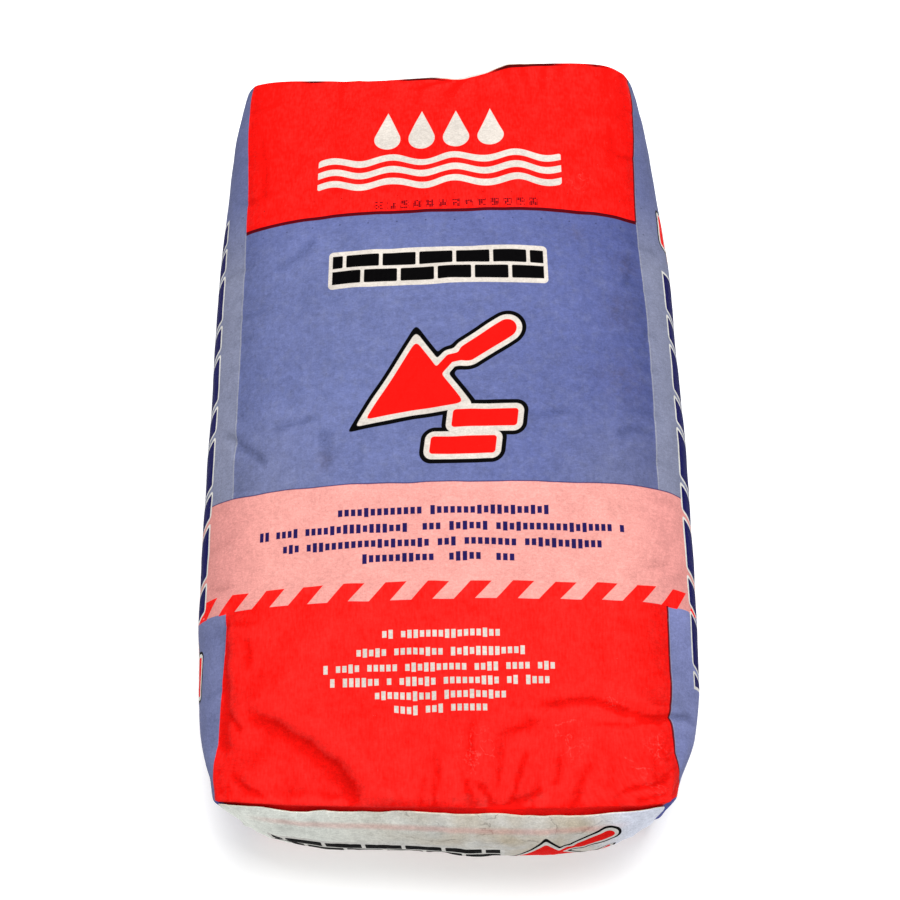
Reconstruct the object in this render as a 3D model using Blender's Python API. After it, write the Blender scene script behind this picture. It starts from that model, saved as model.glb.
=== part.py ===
"""A filled paper valve sack of cement, lying on its back, as a standalone Blender 4.5 script.

Metres, +Z up. The origin is on the floor, in the middle of the sack. The printed front panel
faces +Z, the foot end faces -Y and the head end, with the filling valve, faces +Y.

The sack is a flat paper tube with a folded and pasted block bottom at each end. A cover sheet
is pasted over each end, and a short paper sleeve lines the valve at the head end's +X corner.
"""

import math

import bmesh
import bpy
import numpy as np

# Driving dimensions of the paper tube.
PANEL_WIDTH = 0.290
SIDE_WIDTH = 0.110
FILLED_LENGTH = 0.538
TUBE_GIRTH = 2 * (PANEL_WIDTH + SIDE_WIDTH)

# Half width and thickness of the filled sack, at its middle and at its folded ends.
MIDDLE_HALF_WIDTH = 0.168
END_HALF_WIDTH = 0.150
MIDDLE_THICKNESS = 0.142
END_THICKNESS = 0.114
WIDEST_LEVEL = 0.47          # share of the thickness at which the sack is widest
WIDTH_FALL = 4.2             # how late the width falls off towards an end
THICKNESS_FALL = 2.3         # how late the thickness falls off towards an end

# Squareness of the upper and lower half sections: 2 is an ellipse, large is a rectangle.
MIDDLE_TOP_SQUARENESS = 2.45
MIDDLE_BASE_SQUARENESS = 3.0
END_SQUARENESS = 6.5
SQUARENESS_FALL = 6.0

FLOOR_SINK = 0.006           # how deep the full round of the section would reach below the floor
END_LIFT = 0.006             # how far the end folds rise off the floor
END_LIFT_LENGTH = 0.10       # over this length from each end

# The folded ends.
END_BULGE = 0.022            # how far the pasted end swells out at its middle
FOLD_LIP = 0.0035            # how deep the end face is drawn in just under the front fold
FOLD_LIP_HEIGHT = 0.010

# The broad hollow at the foot's -X corner, where the cement has settled away from the paper.
CORNER_STEP_DEPTH = 0.0065
CORNER_STEP_REACH = (0.088, 0.100)      # across and along the panel, from the corner
CORNER_STEP_SOFTNESS = 0.034

# The waves of the head fold.
HEAD_WAVE_HEIGHT = 0.0035
HEAD_WAVE_LENGTH = 0.19
HEAD_WAVE_FADE = 0.05

# The pasted pieces: a sheet over each end, and the valve sleeve.
PASTE_GAP = 0.0003
SHEET_THICKNESS = 0.0006
FOOT_SHEET_SPAN = (-0.97, 0.87)   # shares of the end's half width: pasted a little towards -X
HEAD_SHEET_SPAN = (-0.87, 0.87)
SHEET_HALF_HEIGHT = 0.84          # share of the end's half height
SLEEVE_SPAN = (0.89, 0.97)        # the valve sleeve comes out beside the head sheet
SLEEVE_HALF_HEIGHT = 0.60
SLEEVE_THICKNESS = 0.0012

SECTION_SAMPLES = 241

# Where the folded block is cut across, along and up, at plus and minus each share.
GRID_ACROSS = (0, 0.14, 0.28, 0.42, 0.55, 0.67, 0.78, 0.87, 0.89, 0.97, 1)
GRID_ALONG = (0, 0.09, 0.18, 0.27, 0.36, 0.45, 0.54, 0.62, 0.69, 0.75, 0.80, 0.85, 0.89, 0.93, 0.965, 1)
GRID_UP = (0.12, 0.36, 0.60, 0.84, 0.93, 1)


def ease(value):
    """0 below 0 and 1 above 1, with a smooth step between."""
    value = np.clip(value, 0.0, 1.0)
    return value * value * (3 - 2 * value)


def signed_power(value, exponent):
    return np.sign(value) * np.abs(value) ** exponent


def section(along):
    """The sack's outline across its length at along, -1 at the foot and 1 at the head.

    It returns x, z and the distance along the paper, from the middle of the front towards +X.
    """
    far = abs(along)
    half_width = END_HALF_WIDTH + (MIDDLE_HALF_WIDTH - END_HALF_WIDTH) * (1 - far**WIDTH_FALL)
    thickness = END_THICKNESS + (MIDDLE_THICKNESS - END_THICKNESS) * (1 - far**THICKNESS_FALL)
    square = 1 - far**SQUARENESS_FALL
    top = END_SQUARENESS + (MIDDLE_TOP_SQUARENESS - END_SQUARENESS) * square
    base = END_SQUARENESS + (MIDDLE_BASE_SQUARENESS - END_SQUARENESS) * square

    angle = np.linspace(0, 2 * np.pi, SECTION_SAMPLES)
    squareness = np.where(np.cos(angle) >= 0, top, base)
    x = half_width * signed_power(np.sin(angle), 2 / squareness)
    rise = signed_power(np.cos(angle), 2 / squareness)
    widest = WIDEST_LEVEL * thickness
    z = np.where(rise >= 0, widest + rise * (thickness - widest), widest + rise * (widest + FLOOR_SINK))
    z = np.maximum(z, 0.0)

    paper = np.concatenate([[0.0], np.cumsum(np.hypot(np.diff(x), np.diff(z)))])
    return x, z, paper


def tube_point(around, along):
    """A point of the tube: around is the paper distance from the front's middle, towards +X."""
    x, z, paper = section(along)
    place = (around / TUBE_GIRTH % 1.0) * paper[-1]
    from_end = (1 - abs(along)) * FILLED_LENGTH / 2
    lift = END_LIFT * (1 - ease(from_end / END_LIFT_LENGTH)) * (1 - ease(np.interp(place, paper, z) / 0.08))
    return np.array([
        np.interp(place, paper, x),
        along * FILLED_LENGTH / 2,
        np.interp(place, paper, z) + lift,
    ])


def around_of(across, up):
    """The paper distance of a point on the rim of the sack's block, from -1 to 1 each way."""
    if up >= 1:
        return across * PANEL_WIDTH / 2
    if up <= -1:
        return PANEL_WIDTH / 2 + SIDE_WIDTH + (1 - across) * PANEL_WIDTH / 2
    side = PANEL_WIDTH / 2 + (1 - up) / 2 * SIDE_WIDTH
    return math.copysign(side, across)


def end_point(across, up, end):
    """A point of a folded end, stretched between its four folds and swollen by the cement."""
    def rim(a, u):
        return tube_point(around_of(a, u), end)

    left, right = (1 - across) / 2, (1 + across) / 2
    low, high = (1 - up) / 2, (1 + up) / 2
    between_sides = left * rim(-1, up) + right * rim(1, up)
    between_folds = low * rim(across, -1) + high * rim(across, 1)
    corners = low * (left * rim(-1, -1) + right * rim(1, -1)) + high * (left * rim(-1, 1) + right * rim(1, 1))
    point = between_sides + between_folds - corners

    swell = END_BULGE * (1 - abs(across) ** 3.5) * (1 - abs(up) ** 2.2)
    under_fold = (1 - abs(up)) * END_THICKNESS / 2 / FOLD_LIP_HEIGHT
    draw_in = FOLD_LIP * under_fold * math.exp(1 - under_fold) * (1 - across**8)
    point[1] += end * (swell - draw_in)
    return point


def relief(point, up):
    """The main hollows and waves of the front panel, as a change of height."""
    x, y, _ = point
    on_front = ease((up - 0.2) / 0.6)
    from_side = (x + PANEL_WIDTH / 2) / CORNER_STEP_REACH[0]
    from_foot = (y + FILLED_LENGTH / 2) / CORNER_STEP_REACH[1]
    reach = math.hypot(max(from_side, 0), max(from_foot, 0))
    hollow = 1 - ease((reach - 1) * CORNER_STEP_REACH[0] / CORNER_STEP_SOFTNESS + 0.5)

    from_head = (FILLED_LENGTH / 2 - y) / HEAD_WAVE_FADE
    wave = math.cos(2 * math.pi * (x - 0.045) / HEAD_WAVE_LENGTH) * math.exp(-max(from_head, 0))
    return on_front * (HEAD_WAVE_HEIGHT * wave - CORNER_STEP_DEPTH * hollow)


def sack_point(across, along, up):
    """Where a point on the surface of a block of sides -1 to 1 lies on the filled sack."""
    if abs(along) >= 1 and abs(across) < 1 and abs(up) < 1:
        point = end_point(across, up, math.copysign(1, along))
    else:
        point = tube_point(around_of(across, up), along)
    point[2] += relief(point, up)
    return point


def paper_material(name, colour, roughness):
    material = bpy.data.materials.new(name)
    material.use_nodes = True
    shader = material.node_tree.nodes["Principled BSDF"]
    shader.inputs["Base Color"].default_value = (*colour, 1)
    shader.inputs["Roughness"].default_value = roughness
    shader.inputs["Metallic"].default_value = 0
    return material


def finish_object(name, body, material):
    """Turns a bmesh into a smooth-shaded object of that name."""
    bmesh.ops.recalc_face_normals(body, faces=body.faces)
    mesh = bpy.data.meshes.new(name)
    body.to_mesh(mesh)
    body.free()
    mesh.materials.append(material)
    mesh.shade_smooth()
    mesh.set_sharp_from_angle(angle=math.radians(50))
    piece = bpy.data.objects.new(name, mesh)
    bpy.context.scene.collection.objects.link(piece)
    return piece


def cut_grid(body, stops, axis):
    """Cuts a block of sides -1 to 1 across an axis, at plus and minus each stop."""
    normal = [float(i == axis) for i in range(3)]
    for stop in sorted({side * s for s in stops for side in (-1, 1) if s < 1}):
        bmesh.ops.bisect_plane(
            body,
            geom=body.verts[:] + body.edges[:] + body.faces[:],
            plane_co=[stop * n for n in normal],
            plane_no=normal,
        )


def cut_block():
    """A block of sides -1 to 1, cut to the grid and into triangles, whose points name places on the sack."""
    body = bmesh.new()
    bmesh.ops.create_cube(body, size=2)
    for axis, stops in enumerate((GRID_ACROSS, GRID_ALONG, GRID_UP)):
        cut_grid(body, stops, axis)
    bmesh.ops.triangulate(body, faces=body.faces, quad_method="FIXED")
    for vertex in body.verts:
        vertex.co = [round(c, 6) for c in vertex.co]
    return body


def off_the_end(across, up, end, distance):
    """A point that stands that far off the folded end, square to it."""
    step = 0.01
    sideways = end_point(across + step, up, end) - end_point(across - step, up, end)
    upwards = end_point(across, up + step, end) - end_point(across, up - step, end)
    normal = np.cross(sideways, upwards)
    normal *= math.copysign(1, normal[1] * end) / np.linalg.norm(normal)
    return sack_point(across, end, up) + normal * distance


def build_sack(material):
    """The tube with its two folded ends, from a block that is filled out."""
    body = cut_block()
    for vertex in body.verts:
        vertex.co = sack_point(*vertex.co)
    return finish_object("sack", body, material)


def build_pasted_piece(name, material, end, across_span, half_height, thickness):
    """A piece of paper pasted on a folded end: the end's own faces inside the span, made thick."""
    body = cut_block()
    elsewhere = []
    for face in body.faces:
        across, along, up = face.calc_center_median()
        inside = across_span[0] < across < across_span[1] and abs(up) < half_height
        if along * end < 0.999 or not inside:
            elsewhere.append(face)
    bmesh.ops.delete(body, geom=elsewhere, context="FACES")

    extruded = bmesh.ops.extrude_face_region(body, geom=body.faces[:], use_keep_orig=True)
    outer = {part for part in extruded["geom"] if isinstance(part, bmesh.types.BMVert)}
    for vertex in body.verts:
        across, _, up = vertex.co
        distance = PASTE_GAP + (thickness if vertex in outer else 0)
        vertex.co = off_the_end(across, up, end, distance)
    return finish_object(name, body, material)


def main():
    for old in list(bpy.data.objects):
        bpy.data.objects.remove(old)

    printed = paper_material("printed_paper", (0.16, 0.19, 0.41), 0.62)
    white = paper_material("white_paper", (0.57, 0.56, 0.52), 0.75)
    kraft = paper_material("kraft_paper", (0.42, 0.28, 0.16), 0.8)

    build_sack(printed)
    build_pasted_piece("foot_cover_sheet", white, -1, FOOT_SHEET_SPAN, SHEET_HALF_HEIGHT, SHEET_THICKNESS)
    build_pasted_piece("head_cover_sheet", white, 1, HEAD_SHEET_SPAN, SHEET_HALF_HEIGHT, SHEET_THICKNESS)
    build_pasted_piece("valve_sleeve", kraft, 1, SLEEVE_SPAN, SLEEVE_HALF_HEIGHT, SLEEVE_THICKNESS)


main()
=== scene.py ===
"""The look of a filled paper cement sack that lies on its back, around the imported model.

Metres, +Z up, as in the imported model: the printed front faces +Z, the foot end faces -Y. Places
on the paper are in millimetres: u runs around the tube from the middle of the front towards +X,
and v runs along it from the middle towards the head.
"""

import math
from functools import partialmethod

import bpy
import numpy as np
from mathutils import Matrix, Vector


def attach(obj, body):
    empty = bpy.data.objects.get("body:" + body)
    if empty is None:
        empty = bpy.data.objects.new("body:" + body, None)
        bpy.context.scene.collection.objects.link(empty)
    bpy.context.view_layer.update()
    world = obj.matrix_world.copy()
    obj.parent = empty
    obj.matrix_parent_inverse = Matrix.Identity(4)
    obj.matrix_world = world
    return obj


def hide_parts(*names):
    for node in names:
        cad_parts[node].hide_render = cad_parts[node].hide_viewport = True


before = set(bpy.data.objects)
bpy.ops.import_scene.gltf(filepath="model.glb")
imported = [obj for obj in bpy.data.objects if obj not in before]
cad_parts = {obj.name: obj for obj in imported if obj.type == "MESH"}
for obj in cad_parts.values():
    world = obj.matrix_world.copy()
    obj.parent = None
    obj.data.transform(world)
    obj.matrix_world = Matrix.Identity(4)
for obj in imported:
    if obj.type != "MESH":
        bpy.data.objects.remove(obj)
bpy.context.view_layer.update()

# The paper tube and the filled shape, as the model has them, in metres.
PANEL_WIDTH = 0.290
SIDE_WIDTH = 0.110
TUBE_GIRTH = 2 * (PANEL_WIDTH + SIDE_WIDTH)
FILLED_LENGTH = 0.538
MIDDLE_HALF_WIDTH = 0.168
END_HALF_WIDTH = 0.150
MIDDLE_THICKNESS = 0.142
END_THICKNESS = 0.114
WIDEST_LEVEL = 0.47
WIDTH_FALL = 4.2
THICKNESS_FALL = 2.3
MIDDLE_TOP_SQUARENESS = 2.45
MIDDLE_BASE_SQUARENESS = 3.0
END_SQUARENESS = 6.5
SQUARENESS_FALL = 6.0
FLOOR_SINK = 0.006
END_LIFT = 0.006
END_LIFT_LENGTH = 0.10
END_LIFT_HEIGHT = 0.08
END_BULGE = 0.022
BULGE_FALL_ACROSS = 3.5
BULGE_FALL_UP = 2.2
FOOT_BULGE_LEAN = 0.42
FOLD_LIP = 0.0045
FOLD_LIP_HEIGHT = 0.008
HEAD_WAVE_HEIGHT = 0.0035
HEAD_WAVE_CREST = 0.045
HEAD_WAVE_LENGTH = 0.19
HEAD_WAVE_FADE = 0.05

# How the lying sack differs from an even block, in metres. A corner's pull is at the top and the base.
FLOOR_GAP = 0.0003
HEAD_BUMP = 0.0103
HEAD_BUMP_RISES = ((0.6, 0.033, 0.022), (0.4, 0.045, 0.070))
HEAD_BUMP_END = 0.124
HEAD_BUMP_FALL = 0.032
HEAD_NOTCH = 0.0045
HEAD_NOTCH_PLACE = 0.017
HEAD_NOTCH_WIDTH = 0.016
HEAD_BUMP_FADE = 0.04
LEFT_CORNER_PULL = (-0.002, 0.012)
RIGHT_CORNER_PULL = (0.0, 0.009)
CORNER_REACH = 0.044
FOOT_FOLD_REACH = 0.06
PULLED_LEVEL = 0.065

# Places along the sack and, for each, how far that side stands out there, in millimetres.
LEFT_SWELL = ((-235, 0), (-190, 1.5), (-120, 0), (100, -1.0), (200, 0))
RIGHT_SWELL = ((-240, 0), (-195, 2.8), (-120, 0.8), (-30, 2.2), (60, 0), (190, -2.2), (269, -1.2))

# Places across the sack and, for each, how far the foot's front fold stands out there.
FOOT_FOLD = (
    (-150, -9), (-140, -5), (-120, -2), (-94, 0), (-30, 1.7), (9, 2.7), (74, 4), (120, 3.2), (138, 0.5),
    (150, -8),
)

# The like for how far the print has slipped around the sack towards the front.
LEFT_SLIP = (
    (-269, -3), (-255, -3), (-240, 0), (-215, 0.5), (-150, 2.8), (-60, 5.6), (60, 3.7), (138, 2),
    (230, -0.5), (269, -2),
)
RIGHT_SLIP = (
    (-269, -24), (-255, -9), (-240, -1), (-215, 2.5), (-150, 0), (-50, 3.6), (60, 1.2), (138, 1.4),
    (190, -2.2), (269, -5),
)

# Where that slip sets in, how fast, and where it has gone again before the back's middle.
SLIP_START = 0.070
SLIP_RISE = 0.075
SLIP_FADE = 0.12

# How far the paper's cockling moves the print along the sack, and how far from the ends it sets in.
PRINT_WOBBLE = 0.0009
WOBBLE_FADE = 0.03

# The tube's folds on the paper, in millimetres.
MM = 0.001
PANEL_EDGE = PANEL_WIDTH / 2 / MM
SIDE_MIDDLE = PANEL_EDGE + SIDE_WIDTH / 2 / MM
BACK_EDGE = PANEL_EDGE + SIDE_WIDTH / MM
END_FOLD = FILLED_LENGTH / 2 / MM

# How finely the sack's mesh is cut, and how much closer the cuts lie at its edges.
CUTS_ACROSS = 130
CUTS_UP = 40
CUTS_ALONG = 250
CROWDING = 0.5
SECTION_SAMPLES = 1441

# The print's lines, in millimetres on the paper.
TOP_BAND_EDGE = 138.5
PINK_EDGE = -68.0
STRIPE_TOP = -134.0
STRIPE_FOOT = -145.5
STRIPE_PITCH = 26.5
STRIPE_SHIFT = 10.5
STRIPE_PHASE = 7.9
SIDE_TURN = -18.5
PIN_PITCH = 20.0
PIN_PHASE = 11.0
PIN_ROWS = (130.0, 153.0)

# The rows of small blocks: the middle and the half length of each.
PINK_BAND_ROWS = ((-87, 68), (-98, 121), (-108.5, 104), (-118.5, 50))
RED_BAND_ROWS = ((-167, 36), (-178, 52), (-187.5, 74), (-196, 70), (-204.5, 40), (-212.5, 30))

# Where the head's front fold is dark, from one side to the other.
DARK_HEAD_FOLD_SPANS = ((-104, -88), (-30, 2), (40, 92), (112, 122))

# Rubbed streaks, each from one point to another, and dark patches with their radius: smudges along the foot
# fold, and darker places over the front.
RUBBED_STREAKS = (
    ((111, -240), (116, -242)), ((114, -246), (125, -248)), ((134, -227), (133, -241)),
    ((105, -205), (107, -211)), ((82, -219), (69, -222)), ((77, -229), (79, -240)), ((17, -228), (17, -250)),
)
CRACKLED = (
    ((134, -236), 13), ((108, -207), 9), ((78, -230), 15), ((22, -238), 18), ((124, -258), 13),
    ((100, 165), 14),
)
DARK_PATCHES = (
    ((15, -264), 5), ((6, -263), 4), ((52, -263), 6), ((61, -263), 5), ((24, -267), 7), ((-34, -262), 5),
    ((124, 60), 20), ((122, 8), 24), ((132, 100), 14), ((96, 122), 10), ((113, -87), 9), ((-74, -50), 12),
)

# The folds' rounding, the pasted pieces and their small gaps, in millimetres or shares of the end.
FOLD_RADIUS = 3.2
HOLLOW_ROUNDS = 12
HOLLOW_DEPTH = 0.5
SHEET_HALF_HEIGHT = 0.86
SHEET_END_LEAN = 0.05
SHEET_WAVE = 0.055
SHEET_LIFT = 2.4
SHEET_GAP = 0.35
SHEET_THICKNESS = 0.4
FOOT_SHEET_SPAN = (-0.97, 0.90)
HEAD_SHEET_SPAN = (-0.87, 0.87)
SLEEVE_SPAN = (0.89, 0.97)
SLEEVE_HALF_HEIGHT = 0.60
SLEEVE_GAP = 0.5
SLEEVE_FLAT = 0.6
SLEEVE_OPEN = 3.0

# The view and the light.
CAMERA_PLACE = (0.0386, -0.3841, 0.9889)
CAMERA_YAW = 0.0942
CAMERA_PITCH = 1.1901
CAMERA_ROLL = -0.1102
CAMERA_LENS = 55.96
PAPER_LEVEL = 0.68
SKY_STRENGTH = 0.56
FLOOR_GLOW = 0.35
KEY_PLACE = (0.22, 0.42, 2.0)
KEY_SIZE = 1.0
KEY_POWER = 49


def ease(value):
    """0 below 0 and 1 above 1, with a smooth step between."""
    value = np.clip(value, 0.0, 1.0)
    return value * value * (3 - 2 * value)


def signed_power(value, exponent):
    return np.sign(value) * np.abs(value) ** exponent


# The filled shape.


def section(along):
    """The sack's outline across its length, as x, z and the distance along the paper."""
    far = abs(along)
    half_width = END_HALF_WIDTH + (MIDDLE_HALF_WIDTH - END_HALF_WIDTH) * (1 - far**WIDTH_FALL)
    thickness = END_THICKNESS + (MIDDLE_THICKNESS - END_THICKNESS) * (1 - far**THICKNESS_FALL)
    square = 1 - far**SQUARENESS_FALL
    top = END_SQUARENESS + (MIDDLE_TOP_SQUARENESS - END_SQUARENESS) * square
    base = END_SQUARENESS + (MIDDLE_BASE_SQUARENESS - END_SQUARENESS) * square

    angle = np.linspace(0, 2 * np.pi, SECTION_SAMPLES)
    squareness = np.where(np.cos(angle) >= 0, top, base)
    x = half_width * signed_power(np.sin(angle), 2 / squareness)
    rise = signed_power(np.cos(angle), 2 / squareness)
    widest = WIDEST_LEVEL * thickness
    z = np.where(rise >= 0, widest + rise * (thickness - widest), widest + rise * (widest + FLOOR_SINK))
    z = np.maximum(z, 0.0)
    paper = np.concatenate([[0.0], np.cumsum(np.hypot(np.diff(x), np.diff(z)))])
    return x, z, paper


def tube_row(around, along):
    """Points of the tube at one place along it. around is in metres."""
    x, z, paper = section(along)
    place = (np.asarray(around) / TUBE_GIRTH % 1.0) * paper[-1]
    height = np.interp(place, paper, z)
    from_end = (1 - abs(along)) * FILLED_LENGTH / 2
    lift = END_LIFT * (1 - ease(from_end / END_LIFT_LENGTH)) * (1 - ease(height / END_LIFT_HEIGHT))
    y = np.full_like(height, along * FILLED_LENGTH / 2)
    return np.stack([np.interp(place, paper, x), y, height + lift], axis=-1)


def crowded(count):
    """Stops from -1 to 1 that lie closer together towards both ends."""
    t = np.linspace(-1, 1, count + 1)
    return (1 - CROWDING) * t + CROWDING * np.sin(np.pi / 2 * t)


def side_place(up):
    """The paper distance of a height -1 to 1 on the +X side, in metres."""
    return PANEL_WIDTH / 2 + (1 - up) / 2 * SIDE_WIDTH


def end_face(across, up, end):
    """The folded end over a grid of across and up, stretched between its folds and swollen."""
    a, u = np.meshgrid(across, up, indexing="ij")
    low, high = (1 - u) / 2, (1 + u) / 2
    left, right = (1 - a) / 2, (1 + a) / 2
    top = tube_row(across * PANEL_WIDTH / 2, end)
    base = tube_row(PANEL_WIDTH / 2 + SIDE_WIDTH + (1 - across) * PANEL_WIDTH / 2, end)
    minus_side = tube_row(-side_place(up), end)
    plus_side = tube_row(side_place(up), end)

    def share(weight, points):
        return weight[..., None] * points

    between_sides = share(left, minus_side[None]) + share(right, plus_side[None])
    between_folds = share(low, base[:, None]) + share(high, top[:, None])
    corners = share(low * left, minus_side[0]) + share(low * right, plus_side[0])
    corners += share(high * left, minus_side[-1]) + share(high * right, plus_side[-1])
    points = between_sides + between_folds - corners

    swell = END_BULGE * (1 - np.abs(a) ** BULGE_FALL_ACROSS) * (1 - np.abs(u) ** BULGE_FALL_UP)
    if end < 0:
        swell *= 1 + FOOT_BULGE_LEAN * a * (1 - a * a)
    under_fold = (1 - np.abs(u)) * END_THICKNESS / 2 / FOLD_LIP_HEIGHT
    draw_in = FOLD_LIP * under_fold * np.exp(1 - under_fold) * (1 - a**8)
    points[..., 1] += end * (swell - draw_in)
    return points


# The creases and waves of the paper. Depths and widths are in millimetres.


def waves(u, v, wavelength, seed):
    """Smooth random waves between -1 and 1 over the paper."""
    size = 89
    lattice = np.random.default_rng(seed).uniform(-1, 1, (size, size))
    x, y = u / wavelength + size / 2, v / wavelength + size / 2
    i, j = np.floor(x).astype(int), np.floor(y).astype(int)
    s, t = ease(x - i), ease(y - j)
    near = lattice[i % size, j % size] * (1 - s) + lattice[(i + 1) % size, j % size] * s
    far = lattice[i % size, (j + 1) % size] * (1 - s) + lattice[(i + 1) % size, (j + 1) % size] * s
    return near * (1 - t) + far * t


def path_distance(u, v, path):
    """Signed distance of each point to a path, positive on its left, and its share of the way along."""
    path = np.asarray(path, float)
    lengths = np.hypot(*np.diff(path, axis=0).T)
    starts = np.concatenate([[0.0], np.cumsum(lengths)])
    nearest = np.full(u.shape, np.inf)
    signed = np.zeros(u.shape)
    share = np.zeros(u.shape)
    for (u0, v0), (u1, v1), length, start in zip(path, path[1:], lengths, starts):
        du, dv = (u1 - u0) / length, (v1 - v0) / length
        reach = np.clip((u - u0) * du + (v - v0) * dv, 0, length)
        off_u, off_v = u - u0 - reach * du, v - v0 - reach * dv
        distance = np.hypot(off_u, off_v)
        closer = distance < nearest
        nearest = np.where(closer, distance, nearest)
        signed = np.where(closer, distance * np.sign(du * off_v - dv * off_u), signed)
        share = np.where(closer, (start + reach) / starts[-1], share)
    return signed, share


def fading(share, start=0.25, end=0.25):
    """1 along the middle of a crease, falling to 0 at its two ends."""
    return ease(share / start) * ease((1 - share) / end)


def groove(u, v, path, depth, width, start=0.3, end=0.4):
    """A pressed-in crease with a sharp bottom, as a change of height."""
    distance, share = path_distance(u, v, path)
    return -depth * np.exp(-np.abs(distance) / width) * fading(share, start, end)


def step(u, v, path, drop, width, reach, raised=0.25, start=0.2, end=0.2):
    """A fall of the paper to the left of a path, which recovers over the reach on both sides."""
    distance, share = path_distance(u, v, path)
    fall = 0.5 + 0.5 * np.tanh(distance / width)
    low = (1 - raised) * fall * np.exp(-np.maximum(distance, 0) / reach)
    high = raised * (1 - fall) * np.exp(-np.maximum(-distance, 0) / reach)
    return drop * (high - low) * fading(share, start, end)


# The creases of the front, as paths on the paper.
CORNER_CREASE = ((-50, -300), (-50, -269), (-55, -254), (-65, -242), (-81, -231), (-126, -203))
LEFT_SHADE = ((-133, -246), (-135, -206), (-138, -176), (-139, -142))

# The pressed-in ones: the path, then the depth, the width, and the shares that fade at the two ends.
FRONT_GROOVES = (
    (
        ((176, -219), (160, -217), (145, -215.5), (134, -217), (115, -216), (102, -212), (88, -207)),
        3.4, 2.6, 0.2, 0.5,
    ),
    (((118, -217), (105, -212), (83, -209), (67, -210), (50, -214)), 2.0, 4.0, 0.1, 0.4),
    (((140, -218), (112, -223), (86, -223)), 1.3, 4.0, 0.1, 0.5),
    (((62, -219), (48, -224), (30, -231)), 1.2, 3.5, 0.3, 0.5),
    (((53, -232), (50, -240), (45, -258), (41, -267)), 1.6, 2.6, 0.5, 0.1),
    (((10, -244), (13, -252), (17, -262), (21, -269)), 2.1, 2.2, 0.5, 0.01),
    (((18, -248), (22, -256), (26, -262), (31, -269)), 1.8, 2.2, 0.5, 0.01),
    (((66, -259), (53, -263), (39, -267), (26, -269)), 3.1, 3.0, 0.5, 0.01),
    (((17, -214), (18, -234), (16, -252)), 0.7, 2.6, 0.3, 0.3),
    (((35, -222), (35, -244), (33, -264)), 0.8, 2.8, 0.4, 0.2),
    (((-6, -232), (-4, -250), (-6, -269)), 0.8, 2.8, 0.5, 0.01),
    (((72, -234), (70, -250), (66, -262)), 0.8, 2.8, 0.4, 0.3),
    (((92, -236), (86, -252), (80, -269)), 0.9, 3.0, 0.5, 0.01),
    (((104, -262), (118, -259), (131, -258), (145, -253)), 1.7, 2.8, 0.4, 0.2),
    (((116, -266), (130, -264), (143, -263)), 1.2, 2.4, 0.3, 0.3),
    (((-56, -252), (-58, -260), (-58, -269)), 2.1, 1.8, 0.4, 0.01),
    (((-137, -208), (-131, -217), (-125, -228)), 2.9, 2.4, 0.3, 0.3),
    (((-137, -251), (-122, -261), (-110, -267)), 2.0, 2.6, 0.3, 0.3),
    (((-129, -156), (-122, -172), (-121, -190)), 0.8, 3.6, 0.4, 0.4),
    (((-83, 124), (-93, 112), (-106, 103), (-122, 99)), 2.1, 5.0, 0.3, 0.3),
    (((-113, -23), (-96, -22), (-80, -20), (-66, -17)), 1.8, 2.2, 0.2, 0.5),
    (((-79, -22), (-75, -35), (-71, -47), (-71, -60)), 1.8, 4.5, 0.3, 0.4),
    (((-158, -14), (-146, -22), (-136, -30), (-124, -38), (-112, -50)), 2.9, 3.0, 0.3, 0.2),
    (((48, -24), (57, -23), (74, -19), (92, -17)), 0.9, 2.6, 0.4, 0.4),
    (((111, -34), (120, -30), (128, -26), (143, -30)), 1.8, 2.8, 0.3, 0.3),
    (((132, 114), (136, 97), (128, 76)), 2.0, 5.0, 0.3, 0.4),
    (((-134, 228), (-130, 196), (-128, 172), (-126, 146)), 1.4, 6.0, 0.3, 0.4),
    (((18, 268), (10, 255), (-4, 246)), 2.6, 5.0, 0.01, 0.6),
    (((10, 268), (-12, 258), (-30, 256)), 1.6, 3.5, 0.01, 0.6),
    (((124, 222), (128, 200), (126, 176)), 2.1, 7.0, 0.4, 0.4),
)
CREASE_FADE = 8
LONG_FOLD_HEIGHT = 1.0
LONG_FOLD_REACH = 100


def front_creases(u, v):
    """The creases of the front panel that the eye picks out."""
    height = step(u, v, CORNER_CREASE, drop=8.0, width=4.0, reach=45, raised=0.55, start=0.01, end=0.23)
    height *= ease((v + END_FOLD) / CREASE_FADE)
    height += step(u, v, LEFT_SHADE, drop=5.0, width=3.6, reach=35, raised=0.4)
    for path, depth, width, start, end in FRONT_GROOVES:
        height += groove(u, v, path, depth, width, start, end)
    return height


def edge_puckers(u, v, rng):
    """Small pinches where the flat panels turn into the rounded sides."""
    height = np.zeros(u.shape)
    for edge in (-PANEL_EDGE, PANEL_EDGE, -BACK_EDGE, BACK_EDGE):
        inwards = -np.sign(edge)
        place = -END_FOLD + rng.uniform(16, 34)
        while place < END_FOLD - 12:
            lean = rng.uniform(-0.5, 0.5)
            to_panel, to_side = rng.uniform(9, 34), rng.uniform(6, 24)
            path = (
                (edge - inwards * to_side, place + lean * to_side),
                (edge, place),
                (edge + inwards * to_panel, place + lean * to_panel * 0.6),
            )
            height += groove(u, v, path, depth=rng.uniform(0.15, 0.95), width=rng.uniform(2.0, 3.6))
            place += rng.uniform(17, 46)
    return height


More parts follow.
